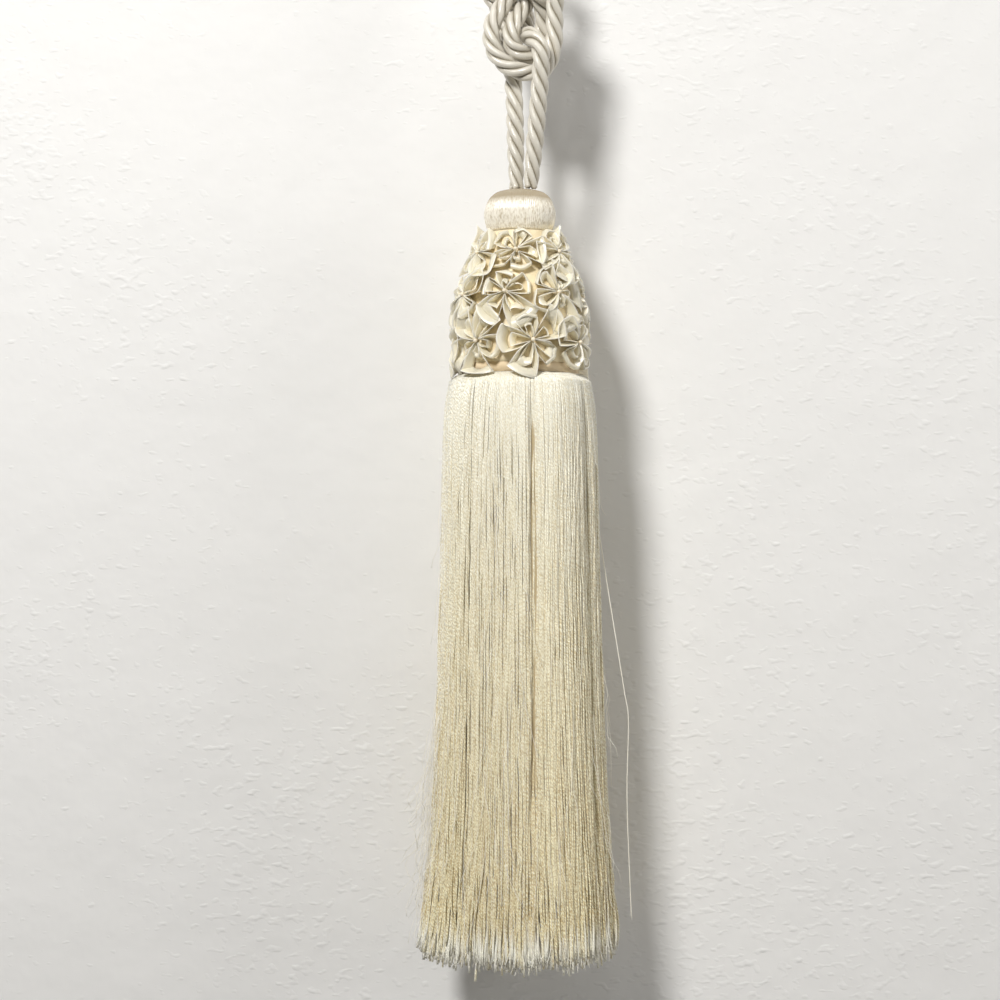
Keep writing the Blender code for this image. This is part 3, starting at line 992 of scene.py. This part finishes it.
def core_painted_shade_finish():
    # The core's dark gold is painted shade: it stands for the threads deep inside the skirt, and shows
    # through the gaps and partings.
    material, tree, shader = new_material("skirt_core", 0.8)
    place = object_place(tree)
    streaks = stretched(tree, place, (1.0, 1.0, 0.03))
    colour = toned(tree, streaks, 900.0, (0.58, 0.48, 0.30), (0.38, 0.29, 0.16))
    tree.links.new(colour, shader.inputs["Base Color"])
    add_bump(tree, shader, noise(tree, streaks, 1200.0, 1.0), 0.3 * MM, 0.8)
    return material


core = show("skirt_core", core_mesh(), core_painted_shade_finish())
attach(core, "root")

BRUSH_SPACING = 1.55 * MM
BRUSH_RADIUS = 31.0 * MM
BRUSH_START = 165 * MM


def brush_lines(rng):
    count = int(math.pi * (BRUSH_RADIUS / BRUSH_SPACING) ** 2)
    depth = np.linspace(BRUSH_START, SKIRT_LENGTH, 7)
    lines = []
    for number in range(count):
        radius = BRUSH_RADIUS * math.sqrt((number + 0.5) / count)
        turn = number * math.pi * (3.0 - math.sqrt(5.0))
        down = depth * (1.0 + rng.normal() * 1.4 * MM / SKIRT_LENGTH)
        spread = radius * (0.90 + 0.10 * (down - BRUSH_START) / (SKIRT_LENGTH - BRUSH_START))
        line = hung(np.full_like(down, turn), spread, down)
        for axis in (0, 1):
            line[:, axis] += 0.6 * MM * wander(rng, down, 0.08, 0.02)
        lines.append(line)
    return lines


brush_mesh = sweep("skirt_brush", brush_lines(rng), 0.95 * MM, 0)
brush_uv = brush_mesh.uv_layers["thread_uv"].data
values = np.empty(len(brush_uv) * 2)
brush_uv.foreach_get("uv", values)
values[1::2] += BRUSH_START / MM
brush_uv.foreach_set("uv", values)
brush = show("skirt_brush", brush_mesh, skirt_rayon)
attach(brush, "root")
print("brush:", len(brush.data.polygons), "faces")

# %% [markdown]
# Some threads have worked loose. One long one hangs out on the right, a few wisps stand off on
# the left, and all round the skirt fine filaments have come away from the twist. At the hem the
# plies open into little brooms. They are all swept lines like the threads, only finer.

# %% Loose threads, filaments and brooms
# Points across and up from the top of the loop, in millimetres, seen from the front.
LOOSE_THREADS = (
    ((27.6, -214.0), (28.8, -220.3), (32.2, -241.9), (37.4, -274.3), (38.9, -285.1),
     (38.4, -313.9), (40.0, -356.4)),
    ((17.0, -340.0), (17.6, -356.0), (17.3, -366.0), (17.7, -372.5)),
)
FILAMENTS = 190
WISPS_SHARE = 0.35           # of the filaments, how many stand off on the left
BROOMS = 760


def loose_lines():
    lines = []
    for points in LOOSE_THREADS:
        front = -20.0 if abs(points[-1][0]) < 20.0 else -2.0
        smooth = smooth_line([(across * MM, front * MM, up * MM) for across, up in points], 8)
        lines.append(evenly(smooth, 3 * MM)[0])
    return lines


def filament_lines(rng):
    """Fine hairs that leave the skirt's surface and swing out from it."""
    share = np.linspace(0, 1, 14)
    lines = []
    for _ in range(FILAMENTS):
        wisp = rng.random() < WISPS_SHARE
        length = rng.uniform(25, 60) * MM if wisp else rng.uniform(12, 55) * MM
        start = SKIRT_LENGTH * (rng.uniform(0.68, 0.95) if wisp else rng.beta(2.2, 1.0)) - length * 0.7
        down = np.linspace(max(start, 6 * MM), min(start + length, SKIRT_LENGTH + 2 * MM), len(share))
        turn = rng.normal(-1.5, 0.35) if wisp else rng.uniform(-math.pi, math.pi)
        turn = turn + rng.uniform(-0.25, 0.25) * share**2
        reach = (rng.uniform(2.0, 9.0) if wisp else rng.uniform(0.6, 3.4)) * MM
        out = reach * share**1.5 * (1.0 + 0.3 * wander(rng, down, 0.04, 0.01))
        lines.append(hung(turn, along_outline(SKIRT_OUTLINE, down) + out, down))
    return lines


def broom_lines(rng):
    """Pairs of short filaments that spread where a thread's end has opened."""
    share = np.linspace(0, 1, 5)
    lines = []
    for number in range(BROOMS):
        turn = 2 * math.pi * (number // 2 + rng.uniform(-0.4, 0.4)) / (BROOMS / 2)
        end = SKIRT_LENGTH + hem_shift(turn) + rng.uniform(-1.5, 3.0) * MM
        down = np.linspace(end - rng.uniform(5, 10) * MM, end, len(share))
        turns = turn + rng.uniform(-1, 1) * 2.2 * MM * share**2 / HEM_RADIUS
        radius = (along_outline(SKIRT_OUTLINE, down) - rng.uniform(0.0, 2.5) * MM
                  + rng.uniform(-0.6, 1.8) * MM * share**2
                  + hem_flare(turn, down / SKIRT_LENGTH))
        lines.append(hung(turns, radius, down))
    return lines


def stray_finish():
    material, tree, shader = new_material("stray_filament", 0.35, 1.0, 1.0)
    colour = toned(tree, thread_place(tree), 0.4, (1.0, 0.97, 0.88), (0.92, 0.86, 0.70))
    tree.links.new(colour, shader.inputs["Base Color"])
    return material


stray_filament = stray_finish()
rng = np.random.default_rng(11)
STRAYS = (
    # Columns: name, lines, thickness in millimetres.
    ("loose_threads", loose_lines(), 0.34),
    ("stray_filaments", filament_lines(rng), 0.13),
    ("hem_brooms", broom_lines(rng), 0.27),
)
for name, lines, thickness in STRAYS:
    strays = show(name, sweep(name, lines, thickness * MM, 0), stray_filament)
    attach(strays, "root")
    print(name, len(lines), "lines")

# %% [markdown]
# ## The stage
#
# The tassel hangs a little in front of a pale wall, over a pale floor. The wall shows only its
# front: seen from behind it is clear, so that the tassel can be looked at from all sides.


# %% Wall and floor
def stage_finish(name, colour, one_sided):
    material, tree, shader = new_material(name, 0.9)
    place = object_place(tree)
    tone = toned(tree, place, 3.0, colour, [0.97 * part for part in colour])
    tree.links.new(tone, shader.inputs["Base Color"])
    dabs = noise(tree, stretched(tree, place, (1.0, 1.0, 1.7)), 230.0, 1.0)
    bare = noise(tree, place, 9.0, 1.0)
    bare = maths(tree, "MULTIPLY_ADD", bare, 0.5, 0.34)
    dabs = maths(tree, "MAXIMUM", maths(tree, "SUBTRACT", dabs, bare), 0.0)
    plaster = maths(tree, "ADD", noise(tree, place, 38.0, 3.0), maths(tree, "MULTIPLY", dabs, 0.7))
    add_bump(tree, shader, plaster, 2.2 * MM, 0.55)
    if one_sided:
        facing = tree.nodes.new("ShaderNodeNewGeometry")
        clear = tree.nodes.new("ShaderNodeBsdfTransparent")
        mix = tree.nodes.new("ShaderNodeMixShader")
        tree.links.new(facing.outputs["Backfacing"], mix.inputs[0])
        tree.links.new(shader.outputs[0], mix.inputs[1])
        tree.links.new(clear.outputs[0], mix.inputs[2])
        tree.links.new(mix.outputs[0], tree.nodes["Material Output"].inputs["Surface"])
    return material


WALL_DISTANCE = 0.040
FLOOR_HEIGHT = -0.95
turn_to_wall = Matrix.Rotation(math.radians(90), 3, "X")


def flat_square(name, size, place, turned):
    bm = bmesh.new()
    corners = bmesh.ops.create_grid(bm, x_segments=1, y_segments=1, size=size / 2)["verts"]
    if turned:
        bmesh.ops.rotate(bm, verts=corners, cent=(0, 0, 0), matrix=turn_to_wall)
    bmesh.ops.translate(bm, verts=corners, vec=place)
    return finished(name, bm)


wall = show("wall", flat_square("wall", 3.0, (0, WALL_DISTANCE, -0.2), True),
            stage_finish("wall_paint", (0.86, 0.855, 0.84), True))
floor = show("floor", flat_square("floor", 6.0, (0, 0, FLOOR_HEIGHT), False),
             stage_finish("floor_paint", (0.62, 0.61, 0.59), False))


# %% Lights
def add_area(name, place, target, size, power, colour):
    data = bpy.data.lights.new(name, "AREA")
    data.shape = "DISK"
    data.size = size
    data.energy = power
    data.color = colour
    light = bpy.data.objects.new(name, data)
    bpy.context.scene.collection.objects.link(light)
    light.location = place
    light.rotation_euler = (Vector(target) - Vector(place)).to_track_quat("-Z", "Y").to_euler()


add_area("window", (-0.38, -0.85, 0.46), (0.0, 0.0, -0.15), 0.24, 11.7, (1.0, 0.99, 0.975))
add_area("ceiling", (0.15, -0.55, 0.75), (0.0, 0.0, -0.15), 0.9, 2.0, (1.0, 0.985, 0.96))
add_area("room", (0.80, -0.40, -0.05), (0.0, 0.0, -0.20), 0.5, 2.0, (1.0, 0.98, 0.95))
world = bpy.data.worlds.new("studio")
bpy.context.scene.world = world
world.use_nodes = True
world.node_tree.nodes["Background"].inputs["Color"].default_value = (1.0, 0.98, 0.94, 1)
world.node_tree.nodes["Background"].inputs["Strength"].default_value = 0.07
bpy.context.scene.view_settings.view_transform = "Standard"
